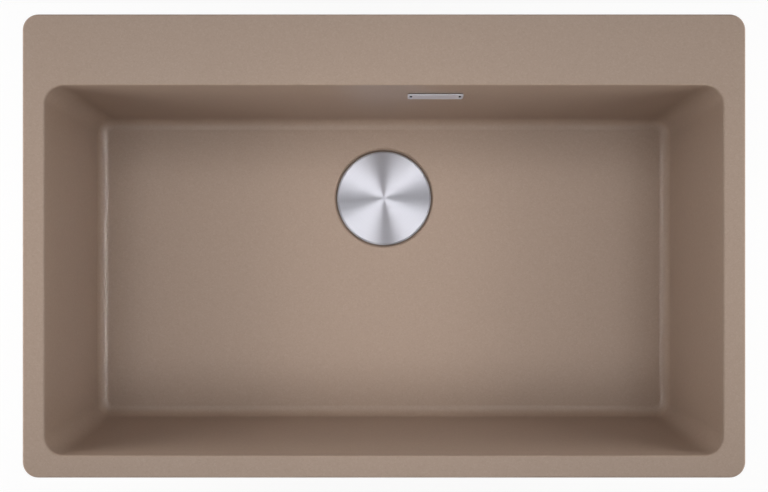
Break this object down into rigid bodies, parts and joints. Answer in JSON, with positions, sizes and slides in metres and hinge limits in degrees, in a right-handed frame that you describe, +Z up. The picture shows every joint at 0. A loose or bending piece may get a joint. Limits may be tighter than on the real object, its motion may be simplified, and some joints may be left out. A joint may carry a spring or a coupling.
{
  "type": "kitchen sink",
  "caption": "Inset single-bowl kitchen sink in taupe granite composite with a tap ledge, lift-out strainer waste under a flush steel cover, wall overflow and swivel fixing clips.",
  "frame": {"origin": "middle of the rim's outline, on the worktop surface that the rim's underside rests on", "axes": "+X to the right along the sink, +Y to the tap ledge at the back, +Z up out of the bowl"},
  "size_m": [0.78, 0.5, 0.3051],
  "materials": {
    "granite_composite": "matte",
    "spun_stainless": "satin",
    "brushed_stainless": "satin",
    "turned_stainless": "polished",
    "zinc_plated_steel": "satin",
    "brass": "satin",
    "black_rubber": "matte",
    "grey_foam": "matte",
    "white_polypropylene": "satin",
    "grey_polypropylene": "satin",
    "black_plastic": "satin"
  },
  "bodies": {
    "sink": {"sink_bowl": "granite_composite", "overflow_cover": "brushed_stainless", "waste_cup": "brushed_stainless", "waste_screw": "turned_stainless", "overflow_screws": "turned_stainless", "clip_screws": "zinc_plated_steel", "waste_insert": "brass", "clip_inserts": "brass", "waste_flange_seal": "black_rubber", "waste_body_seal": "black_rubber", "overflow_rear_seal": "black_rubber", "overflow_upper_seal": "black_rubber", "overflow_lower_seal": "black_rubber", "rim_seal": "grey_foam", "waste_body": "white_polypropylene", "overflow_housing": "white_polypropylene", "overflow_upper_nut": "white_polypropylene", "overflow_lower_nut": "white_polypropylene", "overflow_hose": "grey_polypropylene", "overflow_frame": "black_plastic"},
    "strainer": {"strainer_basket": "brushed_stainless", "strainer_stem": "turned_stainless", "strainer_knob": "turned_stainless", "strainer_spacer": "turned_stainless", "stopper_plate": "brushed_stainless", "stopper_seal": "black_rubber", "strainer_nut": "turned_stainless"},
    "strainer_cover": {"cover_disc": "spun_stainless", "cover_socket": "black_plastic", "cover_grip_ring": "black_rubber"},
    "clip_1": {"fixing_clip_1": "zinc_plated_steel"},
    "clip_2": {"fixing_clip_2": "zinc_plated_steel"},
    "clip_3": {"fixing_clip_3": "zinc_plated_steel"},
    "clip_4": {"fixing_clip_4": "zinc_plated_steel"},
    "clip_5": {"fixing_clip_5": "zinc_plated_steel"},
    "clip_6": {"fixing_clip_6": "zinc_plated_steel"},
    "clip_7": {"fixing_clip_7": "zinc_plated_steel"},
    "clip_8": {"fixing_clip_8": "zinc_plated_steel"}
  },
  "joints": [
    {"name": "strainer_lift", "type": "slide", "parent": "sink", "child": "strainer", "axis": [0, 0, 1], "range_m": [0, 0.28]},
    {"name": "cover_lift", "type": "slide", "parent": "strainer", "child": "strainer_cover", "axis": [0, 0, 1], "range_m": [0, 0.24]},
    {"name": "clip_1_swivel", "type": "hinge", "parent": "sink", "child": "clip_1", "pos_m": [-0.22, -0.235, -0.057], "axis": [0, 0, 1], "range_deg": [0, 90]},
    {"name": "clip_2_swivel", "type": "hinge", "parent": "sink", "child": "clip_2", "pos_m": [0.22, -0.235, -0.057], "axis": [0, 0, 1], "range_deg": [0, 90]},
    {"name": "clip_3_swivel", "type": "hinge", "parent": "sink", "child": "clip_3", "pos_m": [0.375, -0.13125, -0.057], "axis": [0, 0, 1], "range_deg": [0, 90]},
    {"name": "clip_4_swivel", "type": "hinge", "parent": "sink", "child": "clip_4", "pos_m": [0.375, 0.07875, -0.057], "axis": [0, 0, 1], "range_deg": [0, 90]},
    {"name": "clip_5_swivel", "type": "hinge", "parent": "sink", "child": "clip_5", "pos_m": [0.22, 0.235, -0.057], "axis": [0, 0, 1], "range_deg": [0, 90]},
    {"name": "clip_6_swivel", "type": "hinge", "parent": "sink", "child": "clip_6", "pos_m": [-0.22, 0.235, -0.057], "axis": [0, 0, 1], "range_deg": [0, 90]},
    {"name": "clip_7_swivel", "type": "hinge", "parent": "sink", "child": "clip_7", "pos_m": [-0.375, 0.07875, -0.057], "axis": [0, 0, 1], "range_deg": [0, 90]},
    {"name": "clip_8_swivel", "type": "hinge", "parent": "sink", "child": "clip_8", "pos_m": [-0.375, -0.13125, -0.057], "axis": [0, 0, 1], "range_deg": [0, 90]}
  ]
}
